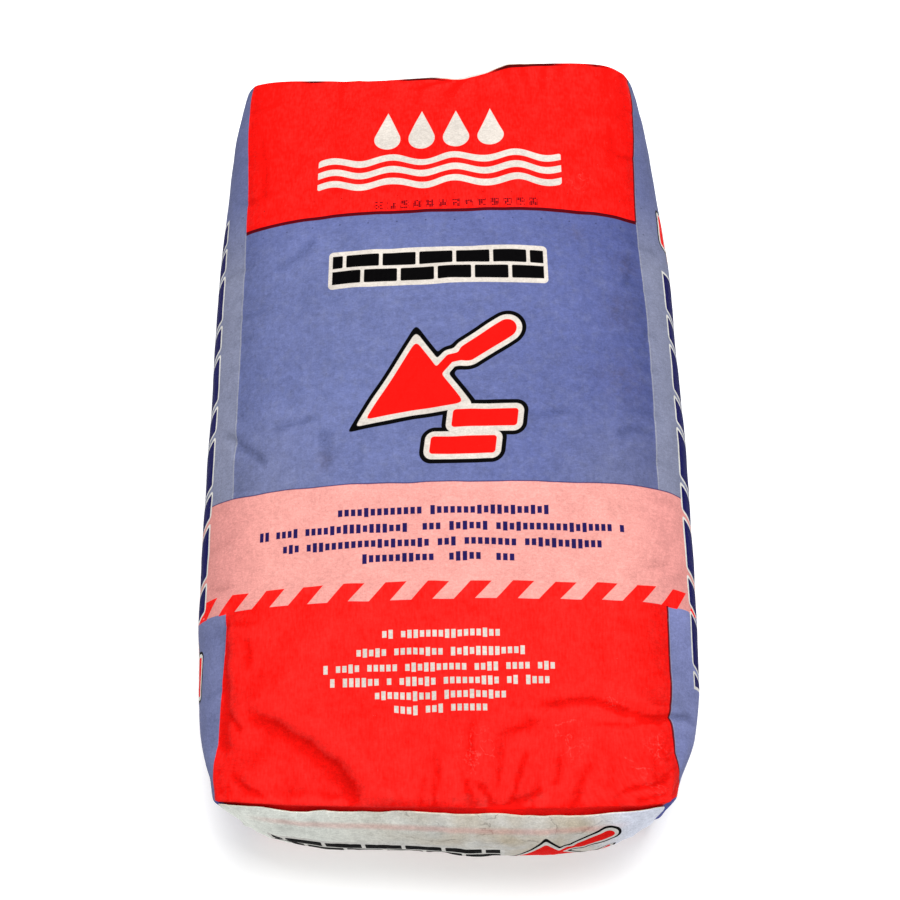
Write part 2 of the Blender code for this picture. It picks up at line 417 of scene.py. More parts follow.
def fold_wrinkles(u, v, rng):
    """Short wrinkles that run from the end folds up the panels."""
    height = np.zeros(u.shape)
    for fold in (-END_FOLD, END_FOLD):
        inwards = -np.sign(fold)
        place = -TUBE_GIRTH / 2 / MM + 6
        while place < TUBE_GIRTH / 2 / MM - 6:
            length, lean = rng.uniform(10, 52), rng.uniform(-0.35, 0.35)
            path = (
                (place, fold),
                (place + lean * length * 0.5, fold + inwards * length * 0.5),
                (place + lean * length * 0.8, fold + inwards * length),
            )
            height += groove(
                u, v, path, depth=rng.uniform(0.15, 0.7), width=rng.uniform(2.2, 4.5), start=0.01, end=0.9
            )
            place += rng.uniform(9, 30)
    return height


def corner_folds(u, v):
    """The slanting creases that the block-shaped ends press into the sides, and the flat tube's edge."""
    height = np.zeros(u.shape)
    for side in (-1, 1):
        for fold in (-END_FOLD, END_FOLD):
            inwards = -np.sign(fold)
            for corner in (PANEL_EDGE, BACK_EDGE):
                middle = SIDE_MIDDLE + (corner - SIDE_MIDDLE) * 0.15
                path = ((side * corner, fold), (side * middle, fold + inwards * 50))
                height += groove(u, v, path, depth=1.1, width=5.0, start=0.01, end=0.8)
            path = ((side * SIDE_MIDDLE, fold), (side * SIDE_MIDDLE, fold + inwards * 120))
            height -= groove(u, v, path, depth=1.0, width=2.2, start=0.01, end=0.9)
    return height


def long_folds(u, v):
    """The tube's four factory folds, which stay sharp near the ends."""
    to_fold = np.abs(np.abs(np.abs(u) - SIDE_MIDDLE) - SIDE_WIDTH / 2 / MM)
    near_end = ease((np.abs(v) - END_FOLD + LONG_FOLD_REACH) / LONG_FOLD_REACH)
    return LONG_FOLD_HEIGHT * np.exp(-to_fold / 3.0) * near_end


def tube_relief(u, v):
    """How far the paper stands off the smooth filled shape, in millimetres."""
    rng = np.random.default_rng(11)
    wobble_u = u + 1.6 * waves(u, v, 11, 3)
    wobble_v = v + 1.6 * waves(u, v, 11, 4)
    height = front_creases(wobble_u, wobble_v)
    height += edge_puckers(wobble_u, wobble_v, rng)
    height += fold_wrinkles(wobble_u, wobble_v, rng)
    height += corner_folds(wobble_u, wobble_v)
    height += long_folds(u, v)
    height += 0.9 * waves(u, v, 74, 5) + 0.45 * waves(u, v, 33, 6)
    height += 0.16 * waves(u, v, 13, 7) + 0.07 * waves(u, v, 6, 8)
    under = ease((np.abs(u) - BACK_EDGE) / 12)
    to_back_middle = TUBE_GIRTH / 2 / MM - np.abs(u)
    return height * (1 - 0.7 * under) * ease(to_back_middle / 20)


def end_relief(across, up, end):
    """The like for a folded end, with its places in millimetres from its middle."""
    seed = 20 if end < 0 else 30
    height = 1.1 * waves(across, up, 52, seed) + 0.5 * waves(across, up, 21, seed + 1)
    height += 0.14 * waves(across, up, 8, seed + 2)
    half_width, half_height = PANEL_EDGE, SIDE_WIDTH / 2 / MM
    to_fold = np.minimum(half_width - np.abs(across), half_height - np.abs(up))
    ear = (half_width - np.abs(across)) - (half_height - np.abs(up))
    height += 0.5 * np.tanh(ear / 1.2)
    return height * ease(to_fold / 12)


def profile(places, stops):
    """A value along or across the sack, from stops in millimetres, in metres."""
    at, values = np.array(stops, float).T
    return np.interp(places / MM, at, values) * MM


def raise_head(points, up):
    """The head fold's waves, with the notch and the bump right of the middle."""
    on_front = ease((up - 0.2) / 0.6)
    x = points[..., 0]
    from_head = np.maximum(FILLED_LENGTH / 2 - points[..., 1], 0)
    wave = np.cos(2 * np.pi * (x - HEAD_WAVE_CREST) / HEAD_WAVE_LENGTH) * np.exp(-from_head / HEAD_WAVE_FADE)
    bump = sum(share * ease((x - start) / length) for share, start, length in HEAD_BUMP_RISES)
    bump *= HEAD_BUMP * (1 - ease((x - HEAD_BUMP_END) / HEAD_BUMP_FALL))
    notch = HEAD_NOTCH * np.exp(-(((x - HEAD_NOTCH_PLACE) / HEAD_NOTCH_WIDTH) ** 2))
    push = on_front * (bump - notch) * np.exp(-from_head / HEAD_BUMP_FADE)
    points[..., 1] += 0.6 * push
    points[..., 2] += 0.5 * push + on_front * HEAD_WAVE_HEIGHT * wave


def shape_foot(points):
    """The foot's corners, drawn in below, and its front fold, which isn't straight."""
    from_foot = points[..., 1] + FILLED_LENGTH / 2
    high = ease((points[..., 2] - PULLED_LEVEL) / (END_THICKNESS - PULLED_LEVEL))
    fold = profile(points[..., 0], FOOT_FOLD) * high * (1 - ease(from_foot / FOOT_FOLD_REACH))
    for side, (top, base) in ((-1, LEFT_CORNER_PULL), (1, RIGHT_CORNER_PULL)):
        near = 1 - ease(np.hypot(points[..., 0] - side * END_HALF_WIDTH, from_foot) / CORNER_REACH)
        pull = (top * high + base * (1 - high)) * near
        points[..., 0] -= side * pull
        points[..., 1] += 0.1 * pull
    points[..., 1] -= fold


def swell_sides(points):
    x, y = points[..., 0], points[..., 1]
    outer = ease((np.abs(x) - 0.10) / 0.05)
    swell = np.where(x < 0, profile(y, LEFT_SWELL), profile(y, RIGHT_SWELL))
    points[..., 0] += np.sign(x) * swell * outer


def settle(points, up):
    """The larger ways in which the lying sack differs from an even block."""
    raise_head(points, up)
    shape_foot(points)
    swell_sides(points)


def slipped(u, v):
    """Where on the paper the print lies that is seen at a place on the tube, in metres."""
    slip = np.where(u < 0, profile(v, LEFT_SLIP), profile(v, RIGHT_SLIP))
    from_back = ease((TUBE_GIRTH / 2 - np.abs(u)) / SLIP_FADE)
    share = ease((np.abs(u) - SLIP_START) / SLIP_RISE) * from_back
    cockling = PRINT_WOBBLE * (waves(u / MM, v / MM, 34, 9) + 0.5 * waves(u / MM, v / MM, 13, 10))
    cockling *= from_back * ease((FILLED_LENGTH / 2 - np.abs(v)) / WOBBLE_FADE)
    return np.stack([u + np.sign(u) * slip * share, v + cockling], axis=-1)


# The sack's mesh.


def vertex_normals(points, quads):
    a, b, c, d = (points[quads[:, i]] for i in range(4))
    face = np.cross(c - a, d - b)
    normals = np.zeros_like(points)
    for i in range(4):
        np.add.at(normals, quads[:, i], face)
    return normals / np.linalg.norm(normals, axis=1, keepdims=True)


def soften(points, quads, weight, rounds):
    """Draws each point towards its neighbours, by its weight, to round off the folds."""
    edges = np.concatenate([quads[:, [i, (i + 1) % 4]] for i in range(4)])
    count = np.bincount(edges[:, 0], minlength=len(points))
    for _ in range(rounds):
        near = points[edges[:, 1]]
        total = np.stack([np.bincount(edges[:, 0], axis, len(points)) for axis in near.T], axis=1)
        points = points + weight[:, None] * (total / count[:, None] - points)
    return points


class Layout:
    """Where the sack's mesh is cut, and the numbers of the points along each fold."""

    def __init__(self):
        self.across = crowded(CUTS_ACROSS)
        self.up = crowded(CUTS_UP)
        self.along = crowded(CUTS_ALONG)
        half = CUTS_ACROSS // 2
        back = PANEL_WIDTH / 2 + SIDE_WIDTH + (1 - self.across) * PANEL_WIDTH / 2
        # Once around the tube, from the middle of the back by way of the -X side.
        self.around = np.concatenate([
            back[half:0:-1] - TUBE_GIRTH,
            -side_place(self.up[:-1]),
            self.across[:-1] * PANEL_WIDTH / 2,
            side_place(self.up[:0:-1]),
            back[:half:-1],
        ])
        self.column_up = np.concatenate([
            -np.ones(half), self.up[:-1], np.ones(CUTS_ACROSS), self.up[:0:-1], -np.ones(half),
        ])

    def fold_highlight(self, end):
        """The point numbers along an end's front, back, -X and +X folds."""
        columns = len(self.around)
        first = 0 if end < 0 else CUTS_ALONG * columns
        half = CUTS_ACROSS // 2
        i, j = np.arange(CUTS_ACROSS + 1), np.arange(CUTS_UP + 1)
        front = half + CUTS_UP + i
        plus_side = half + CUTS_UP + CUTS_ACROSS + CUTS_UP - j
        back = np.where(i < half, half - i, (columns + half - i) % columns)
        return first + front, first + back, first + half + j, first + plus_side

    def end_places(self):
        """How far across and up the points of a folded end lie that are on no fold."""
        return np.meshgrid(self.across[1:-1], self.up[1:-1], indexing="ij")

    def end_grid(self, end):
        """The point numbers of a folded end, by across and up."""
        front, back, minus_side, plus_side = self.fold_highlight(end)
        inside = (CUTS_ACROSS - 1) * (CUTS_UP - 1)
        first = len(self.around) * (CUTS_ALONG + 1) + (0 if end < 0 else inside)
        grid = np.empty((CUTS_ACROSS + 1, CUTS_UP + 1), int)
        grid[1:-1, 1:-1] = first + np.arange(inside).reshape(CUTS_ACROSS - 1, CUTS_UP - 1)
        grid[:, -1], grid[:, 0] = front, back
        grid[0], grid[-1] = minus_side, plus_side
        return grid


def cell_corners(grid):
    """The values of a grid at the four corners of each of its cells, counter-clockwise."""
    corners = (grid[:-1, :-1], grid[1:, :-1], grid[1:, 1:], grid[:-1, 1:])
    return np.stack([corner.reshape(-1, *grid.shape[2:]) for corner in corners], axis=1)


def smooth_shape(layout):
    """The filled shape before its creases, with each point's height on the block."""
    tube = np.concatenate([tube_row(layout.around, along) for along in layout.along])
    settle(tube, np.tile(layout.column_up, CUTS_ALONG + 1))
    parts = [tube]
    for end in (-1, 1):
        face = end_face(layout.across, layout.up, end)
        settle(face, np.broadcast_to(layout.up, face.shape[:2]))
        parts.append(face[1:-1, 1:-1].reshape(-1, 3))
    return np.concatenate(parts)


def relief(layout):
    """Each point's height off the smooth shape, in metres."""
    u = np.tile(layout.around / MM, CUTS_ALONG + 1)
    v = np.repeat(layout.along * END_FOLD, len(layout.around))
    across, up = layout.end_places()
    across, up = across.ravel() * PANEL_EDGE, up.ravel() * SIDE_WIDTH / 2 / MM
    return np.concatenate([tube_relief(u, v), end_relief(across, up, -1), end_relief(across, up, 1)]) * MM


def hollows(heights, quads):
    """How deep each point lies in a crease: 1 at the bottom of one, and below 0 on a ridge."""
    around = soften(heights[:, None], quads, np.full(len(heights), 0.8), HOLLOW_ROUNDS)
    return np.clip((around[:, 0] - heights) / MM / HOLLOW_DEPTH, -0.5, 1)


def fold_closeness(layout):
    """1 on the folds around the two ends, falling to 0 a few millimetres away."""
    on_tube = np.repeat((1 - np.abs(layout.along)) * END_FOLD, len(layout.around))
    across, up = layout.end_places()
    sideways, upwards = (1 - np.abs(across)) * PANEL_EDGE, (1 - np.abs(up)) * SIDE_WIDTH / 2 / MM
    on_end_face = np.minimum(sideways, upwards).ravel()
    from_fold = np.concatenate([on_tube, on_end_face, on_end_face])
    return np.exp(-((from_fold / FOLD_RADIUS) ** 2))


def build_sack(tube_paper, end_paper):
    """The sack as one mesh. It also returns the points of its two folded ends, for what lies on them."""
    layout = Layout()
    columns = len(layout.around)
    tube_grid = np.arange((CUTS_ALONG + 1) * columns).reshape(-1, columns)
    tube_grid = np.concatenate([tube_grid, tube_grid[:, :1]], axis=1).T
    ends = {end: layout.end_grid(end) for end in (-1, 1)}
    tube_quads = cell_corners(tube_grid)
    quads = np.concatenate([tube_quads, cell_corners(ends[-1]), cell_corners(ends[1])[:, ::-1]])

    points = smooth_shape(layout)
    heights = relief(layout)
    points += vertex_normals(points, quads) * heights[:, None]
    points = soften(points, quads, 0.6 * fold_closeness(layout), rounds=6)
    points[:, 2] = np.maximum(points[:, 2], FLOOR_GAP)

    around = np.append(layout.around, TUBE_GIRTH / 2)
    u, v = np.meshgrid(around, layout.along * FILLED_LENGTH / 2, indexing="ij")
    across, up = np.meshgrid(layout.across * PANEL_WIDTH / 2, layout.up * SIDE_WIDTH / 2, indexing="ij")
    tube_places = cell_corners(slipped(u, v))
    end_places = cell_corners(np.stack([across, up], axis=-1))
    places = np.concatenate([tube_places, end_places, end_places[:, ::-1]])

    sack = mesh_piece("printed_sack", points, quads, places, (tube_paper, end_paper), heights)
    slots = np.repeat([0, 1], [len(tube_quads), len(quads) - len(tube_quads)]).astype(np.int32)
    sack.data.polygons.foreach_set("material_index", slots)
    return sack, {end: points[grid] for end, grid in ends.items()}


def mesh_piece(name, points, quads, places, materials, heights):
    """A smooth mesh object, with each corner's place on the paper and each point's depth in a crease."""
    mesh = bpy.data.meshes.new(name)
    mesh.from_pydata(points.tolist(), [], quads.tolist())
    mesh.uv_layers.new(name="paper").data.foreach_set("uv", places.ravel())
    mesh.attributes.new("hollow", "FLOAT", "POINT").data.foreach_set("value", hollows(heights, quads))
    for material in materials:
        mesh.materials.append(material)
    mesh.shade_smooth()
    piece = bpy.data.objects.new(name, mesh)
    bpy.context.scene.collection.objects.link(piece)
    return piece


# What is pasted on the folded ends.


def on_end(points, across, up):
    """Points between those of a folded end's grid."""
    across_stops, up_stops = crowded(CUTS_ACROSS), crowded(CUTS_UP)
    i = np.clip(np.searchsorted(across_stops, across) - 1, 0, len(across_stops) - 2)
    j = np.clip(np.searchsorted(up_stops, up) - 1, 0, len(up_stops) - 2)
    s = ((across - across_stops[i]) / (across_stops[i + 1] - across_stops[i]))[..., None]
    t = ((up - up_stops[j]) / (up_stops[j + 1] - up_stops[j]))[..., None]
    low = points[i, j] * (1 - s) + points[i + 1, j] * s
    high = points[i, j + 1] * (1 - s) + points[i + 1, j + 1] * s
    return (low * (1 - t) + high * t).reshape(-1, 3)


def give_thickness(piece, offset):
    """Thickens a sheet outwards for an offset of 1, and to both sides for 0."""
    thickness = piece.modifiers.new("paper thickness", "SOLIDIFY")
    thickness.thickness = SHEET_THICKNESS * MM
    thickness.offset = offset
    thickness.material_offset_rim = len(piece.data.materials) - 1


def pasted_sheet(name, end_points, end, across_span, material, edge_material):
    """A cover sheet pasted over a folded end, with wavy cut edges that lift here and there."""
    columns, rows = 190, 64
    s, r = np.meshgrid(np.linspace(0, 1, columns + 1), np.linspace(0, 1, rows + 1), indexing="ij")
    seed = 41 if end < 0 else 51
    # About how far along the long and the short edges each point lies, in millimetres.
    long_way, short_way, none = s * 300, r * 110, s * 0
    top_wave = waves(long_way, none, 34, seed) + 0.5 * waves(long_way, none, 13, seed)
    top = SHEET_HALF_HEIGHT + SHEET_WAVE * top_wave
    base = -SHEET_HALF_HEIGHT + SHEET_WAVE * waves(long_way, none, 40, seed + 1)
    low_side = across_span[0] + 0.004 * waves(short_way, none, 30, seed + 2)
    high_side = across_span[1] + SHEET_END_LEAN * (r - 0.5) + 0.006 * waves(short_way, none, 26, seed + 3)
    across = low_side + (high_side - low_side) * s
    up = base + (top - base) * r

    points = on_end(end_points, across, up)
    quads = cell_corners(np.arange(len(points)).reshape(across.shape))
    if end > 0:
        quads = quads[:, ::-1]
    u, v = (across * PANEL_EDGE).ravel(), (up * SIDE_WIDTH / 2 / MM).ravel()
    to_edge = np.minimum(np.minimum(s, 1 - s) * 280, np.minimum(r, 1 - r) * 95).ravel()
    lift = np.maximum(waves(u, v, 24, seed + 4), 0) ** 2 * SHEET_LIFT * np.exp(-to_edge / 5)
    wrinkle = 0.7 * np.maximum(waves(u, v * 0.4, 9, seed + 5), 0)
    wrinkle += 0.3 * np.maximum(waves(u, v, 4.5, seed + 6), 0)
    wrinkle += 1.2 * np.maximum(waves(u + 0.5 * v, v * 0.5, 26, seed + 7), 0)
    heights = (SHEET_GAP + lift + wrinkle) * MM
    points += vertex_normals(points, quads) * heights[:, None]

    places = cell_corners(np.stack([across * PANEL_WIDTH / 2, up * SIDE_WIDTH / 2], axis=-1))
    if end > 0:
        places = places[:, ::-1]
    sheet = mesh_piece(name, points, quads, places, (material, edge_material), heights)
    give_thickness(sheet, 1)
    return sheet


def build_sleeve(end_points, material):
    """The valve's paper sleeve, pressed flat, with its mouth a little open towards +X."""
    turns, lengths = 72, 14
    turn, out = np.meshgrid(
        np.linspace(0, 2 * np.pi, turns + 1), np.linspace(0, 1, lengths + 1), indexing="ij"
    )
    ragged = 0.004 * waves(turn * 12, turn * 0, 5, 61) * out
    across = SLEEVE_SPAN[0] + (SLEEVE_SPAN[1] - SLEEVE_SPAN[0]) * out + ragged
    up = SLEEVE_HALF_HEIGHT * np.cos(turn)
    points = on_end(end_points, across, up)
    mouth = SLEEVE_FLAT + (SLEEVE_OPEN - SLEEVE_FLAT) * out**2
    off_end = SLEEVE_GAP + mouth * (0.5 + 0.5 * signed_power(np.sin(turn), 0.35))
    off_end += 0.25 * waves(up * 40, out * 12, 7, 62) * out
    points[:, 1] += (off_end * MM).ravel()
    quads = cell_corners(np.arange(len(points)).reshape(turn.shape))
    places = cell_corners(np.stack([across * PANEL_WIDTH / 2, turn * 0.02], axis=-1))
    sleeve = mesh_piece("paper_valve_sleeve", points, quads, places, (material,), (off_end * MM).ravel())
    give_thickness(sleeve, 0)
    return sleeve


# Node graphs, written as arithmetic.


def srgb(red, green, blue):
    """A display colour, where 255 is white, as Blender's linear colour."""
    def linear(value):
        value /= 255
        return value / 12.92 if value <= 0.04045 else ((value + 0.055) / 1.055) ** 2.4
    return (linear(red), linear(green), linear(blue), 1)


# The print's colours, before the paper's own shade darkens them. A few are brighter than 255 for that. Some
# stand in for light: the lit blue is painted light, the shaded pink is painted shade, and the ears' blue is
# their print with painted shade.
PAPER_WHITE = srgb(227, 218, 208)
BLUE = srgb(110, 120, 172)
DEEP_BLUE = srgb(88, 98, 158)
PALE_BLUE = srgb(138, 143, 170)
SIDE_BLUE = srgb(121, 128, 172)
LIT_BLUE = srgb(146, 154, 214)
SHADED_EAR_BLUE = srgb(72, 78, 164)
PINK = srgb(249, 169, 160)
SHADED_PINK = srgb(214, 134, 134)
RED = srgb(265, 20, 14)
MAROON = srgb(92, 4, 18)
NAVY = srgb(9, 8, 90)
TEXT_NAVY = srgb(38, 26, 88)
BLACK = srgb(3, 2, 3)
SHEET_WHITE = srgb(240, 238, 232)
SHEET_BRIGHT = srgb(266, 270, 261)
SHEET_BEIGE = srgb(226, 212, 188)
SHEET_BLUE = srgb(254, 259, 276)
CUT_EDGE = srgb(240, 232, 206)
KRAFT = srgb(176, 140, 98)
DIRT = srgb(96, 80, 74)


class Term:
    """A number that varies over a surface. Arithmetic on it adds nodes to its material."""

    def __init__(self, socket):
        self.socket = socket

    def math(self, operation, *others, clamp=False):
        tree = self.socket.id_data
        node = tree.nodes.new("ShaderNodeMath")
        node.operation = operation
        node.use_clamp = clamp
        for entry, value in zip(node.inputs, (self, *others)):
            if isinstance(value, Term):
                tree.links.new(value.socket, entry)
            else:
                entry.default_value = value
        return Term(node.outputs[0])

    __add__ = partialmethod(math, "ADD")
    __sub__ = partialmethod(math, "SUBTRACT")
    __mul__ = partialmethod(math, "MULTIPLY")
    __truediv__ = partialmethod(math, "DIVIDE")
    __abs__ = partialmethod(math, "ABSOLUTE")
    least = partialmethod(math, "MINIMUM")
    most = partialmethod(math, "MAXIMUM")
    blend_least = partialmethod(math, "SMOOTH_MIN")
    blend_most = partialmethod(math, "SMOOTH_MAX")
    times_plus = partialmethod(math, "MULTIPLY_ADD")

    def __rsub__(self, number):
        return self.times_plus(-1.0, number)

    def over(self, low, high):
        """0 below low and 1 above high."""
        return self.times_plus(1 / (high - low), -low / (high - low), clamp=True)

    def in_cells(self, pitch):
        """The distance from the middle of the cell of that pitch, from minus half to plus half."""
        return self.math("WRAP", pitch / 2, -pitch / 2)

    def cell_number(self, pitch):
        return self.times_plus(1 / pitch, 0.5).math("FLOOR")


def length(x, y):
    return x.times_plus(x, y * y).math("SQRT")


# Shapes in print, as the signed distance from their outline in millimetres.


def disc(x, y, radius):
    return length(x, y) - radius


def round_box(x, y, half_x, half_y, corner):
    over_x = (abs(x) - (half_x - corner)).most(0.0)
    over_y = (abs(y) - (half_y - corner)).most(0.0)
    return length(over_x, over_y) - corner


def rod(x, y, start, end, radius):
    """A straight bar with round ends."""
    dx, dy = end[0] - start[0], end[1] - start[1]
    square = dx * dx + dy * dy
    from_x, from_y = x - start[0], y - start[1]
    share = from_x.times_plus(dx / square, from_y * (dy / square), clamp=True)
    return length(share.times_plus(-dx, from_x), share.times_plus(-dy, from_y)) - radius


def half_plane(x, y, point, angle):
    """The side of a line that faces away from the angle, in degrees."""
    c, s = math.cos(math.radians(angle)), math.sin(math.radians(angle))
    return x.times_plus(c, y * s) - (point[0] * c + point[1] * s)


def turned(x, y, centre, angle):
    """Coordinates about a centre, along axes turned by the angle in degrees."""
    c, s = math.cos(math.radians(angle)), math.sin(math.radians(angle))
    from_x, from_y = x - centre[0], y - centre[1]
    return from_x.times_plus(c, from_y * s), from_y.times_plus(c, from_x * -s)


def white_noise(tree, cell):
    """A random number from 0 to 1 for each cell number."""
    noise = tree.nodes.new("ShaderNodeTexWhiteNoise")
    noise.noise_dimensions = "1D"
    tree.links.new(cell.socket, noise.inputs["W"])
    return Term(noise.outputs["Value"])


def inside(distance, blur=0.14):
    """1 inside an outline and 0 outside, with an ink's soft edge."""
    return distance.times_plus(-0.5 / blur, 0.5, clamp=True)


def between(value, low, high, blur=0.14):
    return inside(abs(value - (low + high) / 2) - (high - low) / 2, blur)


class Print:
    """Paper with inks laid on it one after another."""

    def __init__(self, tree, colour):
        self.tree = tree
        self.colour = colour

    def lay(self, colour, mask):
        node = self.tree.nodes.new("ShaderNodeMix")
        node.data_type = "RGBA"
        self.tree.links.new(mask.socket, node.inputs[0])
        for entry, value in ((node.inputs[6], self.colour), (node.inputs[7], colour)):
            if isinstance(value, tuple):
                entry.default_value = value
            else:
                self.tree.links.new(value, entry)
        self.colour = node.outputs[2]

    def darken(self, share):
        """Takes that share of the light away."""
        self.lay((0, 0, 0, 1), share)


# The generic print.


def drop(x, y):
    """A water drop, 36 mm tall, with its point up."""
    flank = (abs(x) * 0.931 + (y - 18) * 0.365).most(-4.5 - y)
    return disc(x, y + 8, 9.5).least(flank)


def water_band(ink, u, v):
    """Drops above waves."""
    drops = drop((u - 12.5).in_cells(25.0), v - 213)
    ink.lay(PAPER_WHITE, inside(drops.most(abs(u) - 49)))
    swing = (u * (2 * math.pi / 44)).math("SINE") * 2.6
    rows = abs((v - swing - 174.5).in_cells(10.6)) - 2.9
    ends = round_box(u, v - swing - 174.5, 87, 13.5, 2)
    ink.lay(PAPER_WHITE, inside(rows.most(ends)))


def brick_band(ink, u, v, centre, scale, white):
    """Two courses of black bricks on a white ground."""
    x, y = (u - centre[0]) / scale, (v - centre[1]) / scale
    ink.lay(white, inside(round_box(x, y, 74.5, 15, 3.2)))
    upper = round_box((x + 1.0).in_cells(25.0), y - 6.3, 11.3, 5.1, 1.0)
    lower = round_box((x + 13.5).in_cells(25.0), y + 6.3, 11.3, 5.1, 1.0)
    course = round_box(x, y, 71.8, 12.2, 1.4)
    ink.lay(BLACK, inside(upper.least(lower).most(course)))


def trowel_emblem(ink, u, v, centre, scale, white):
    """A bricklayer's trowel over two bricks, in red with a white and a black outline."""
    x, y = (u - centre[0]) / scale, (v - centre[1]) / scale
    x = x - y * 0.12
    along, beside = turned(x, y, (-4, 8), 38)
    blade = half_plane(along, beside, (-52, 0), 180 - 62)
    blade = blade.blend_most(half_plane(along, beside, (-52, 0), 180 + 62), 5)
    blade = blade.blend_most(half_plane(along, beside, (4, 0), 0), 7)
    shank = rod(along, beside, (0, 0), (14, 4), 3.2).least(rod(along, beside, (14, 4), (22, 0), 3.2))
    handle = rod(along, beside, (26, 0), (55, 0), 6.6)
    trowel = blade.blend_least(shank, 3).blend_least(handle, 3)
    upper = round_box(x - 32, y + 24, 21, 6.2, 2.2)
    lower = round_box(x - 20, y + 43, 21, 6.2, 2.2)
    shape = trowel.least(upper).least(lower)
    ink.lay(BLACK, inside(shape - 6.4))
    ink.lay(white, inside(shape - 3.6))
    ink.lay(RED, inside(shape))


def plain_lines(ink, u, v, colour, rows, half_height, pitch):
    """Rows of small upright blocks in groups. rows gives each row's middle and half length."""
    middle, half_length = rows[0]
    shift = middle % pitch / 2
    for (above, above_length), (below, below_length) in zip(rows, rows[1:]):
        lower = v.math("LESS_THAN", (above + below) / 2)
        middle = lower.times_plus(below - above, middle)
        half_length = lower.times_plus(below_length - above_length, half_length)
        shift = lower.times_plus(below % pitch / 2 - above % pitch / 2, shift)

    x, y = u + shift, v - middle
    block = x.cell_number(pitch)
    printed = white_noise(ink.tree, middle.times_plus(31, block)).math("GREATER_THAN", 0.13)
    taller = white_noise(ink.tree, middle.times_plus(47, block)).math("GREATER_THAN", 0.70)
    height = taller.times_plus(half_height * 0.35, half_height)
    shape = (abs(x.in_cells(pitch)) - pitch * 0.34).most(abs(y) - height)
    row = shape.most((abs(block * pitch) - half_length) * 10.0)
    ink.lay(colour, inside(row) * printed)


def dotted_strip(ink, u, v):
    """A row of small dots, some of them left out."""
    x, y = u - 12, v - 144.5
    dots = disc(x.in_cells(1.5), y.in_cells(1.35), 0.72)
    groups = (abs(x.in_cells(9.0)) - 2.9).most(abs(y) - 3.2).most(abs(x) - 60)
    kept = white_noise(ink.tree, x.cell_number(1.5).times_plus(1000, y.cell_number(1.35))).over(0.36, 0.40)
    ink.lay(MAROON, inside(dots.most(groups), 0.25) * kept * 0.95)


def side_course(leaning, over):
    """Long and short bricks in turn."""
    long_ones = round_box((leaning - 17).in_cells(64.0), over, 17, 14, 1.2)
    return long_ones.least(round_box((leaning + 15).in_cells(64.0), over, 8.5, 14, 1.2))


def side_print(ink, u, v):
    """Slanted navy bricks and a small trowel on each side, turned half around from one to the other."""
    over = abs(u) - SIDE_MIDDLE
    along = (SIDE_TURN - v) * u.math("SIGN")
    leaning = v + over * 0.4
    bricks = side_course(leaning, over + 17).least(side_course(leaning + 32, over - 17))
    bricks = bricks.most(abs(along - 26) - 150)
    ink.lay(SHEET_WHITE, inside(bricks - 1.8))
    ink.lay(NAVY, inside(bricks))
    trowel_emblem(ink, along, over, (-172, 3), 0.62, SHEET_WHITE)


def pin_holes(ink, u, v):
    """Two rows of fine holes that let the air out of the sack as it is filled."""
    for row in PIN_ROWS:
        hole = disc((u - PIN_PHASE).in_cells(PIN_PITCH), v - row, 0.5)
        ink.lay(BLACK, inside(hole, 0.4) * 0.6)


def patches(tree, places):
    """1 in the middle of each place, falling to 0 at its radius."""
    share = 0.0
    for (u, v), radius in places:
        away = tree.nodes.new("ShaderNodeVectorMath")
        away.operation = "DISTANCE"
        away.inputs[1].default_value = (u * MM, v * MM, 0)
        tree.links.new(paper_uv(tree), away.inputs[0])
        share = Term(away.outputs["Value"]).over(radius * MM, 0).most(share)
    return share


def handling_marks_and_shade(ink, u, v):
    """Rubbed streaks and dark patches; painted shade on the front's rounded edges; darker towards the head
    near the sides, and over the +X side.
    """
    x = u + cloud(ink.tree, 4, 23, 3) * 4.5
    y = v + cloud(ink.tree, 4, 24, 3) * 4.5
    gaps = cloud(ink.tree, 1.5, 17, 2).over(-0.12, 0.12)
    streaks = rod(x, y, *RUBBED_STREAKS[0], 0.1)
    for start, end in RUBBED_STREAKS[1:]:
        streaks = streaks.least(rod(x, y, start, end, 0.1))
    ink.lay(PAPER_WHITE, inside(streaks, 0.5) * gaps * 0.13)
    hairs = 1 - (abs(cloud(ink.tree, 9, 25, 3)) * 34).least(1.0)
    ink.lay(PAPER_WHITE, patches(ink.tree, CRACKLED) * hairs * gaps * 0.09)
    ink.lay(DIRT, patches(ink.tree, DARK_PATCHES) * cloud(ink.tree, 5, 18, 4).over(-0.2, 0.3) * 0.4)
    # Painted shade: darker towards the front's rounded edges. Also darker towards the head near the sides,
    # and over the +X side.
    edge = abs(u).over(114, 146) * inside(abs(u) - PANEL_EDGE, 3.0)
    edge *= 1 - pink_band(v)
    shoulder = abs(u).over(126, 150) * v.over(40, 190) * inside(abs(u) - BACK_EDGE, 8.0)
    right = u.over(95, 150) * inside(u - BACK_EDGE, 8.0)
    right *= 1 - pink_band(v)
    ink.darken(edge * 0.16 + shoulder * 0.08 + right * 0.07)


def thin_ink_and_painted_shade(tree, u, v):
    """How much of the paper shows through the ink: at random, less towards the head, and as painted shade
    and light, less in a crease's bottom and towards the panel edges and more on a ridge.
    """
    fine = cloud(tree, 1.3, 14, 2, 4.0) * 1.2 + cloud(tree, 3.0, 31, 2) * 0.8
    soft = cloud(tree, 9, 15, 2, 1.5) * 0.5
    bare_with_shade = fine + soft - hollow(tree).most(-0.2) * 0.8 - v.over(60, 180) * 0.32
    return (bare_with_shade + 0.55 - abs(u).over(110, 146) * 0.3).over(0.0, 1.0)


def pink_band(v):
    """1 on the pink band across the tube."""
    return between(v, STRIPE_FOOT, PINK_EDGE)


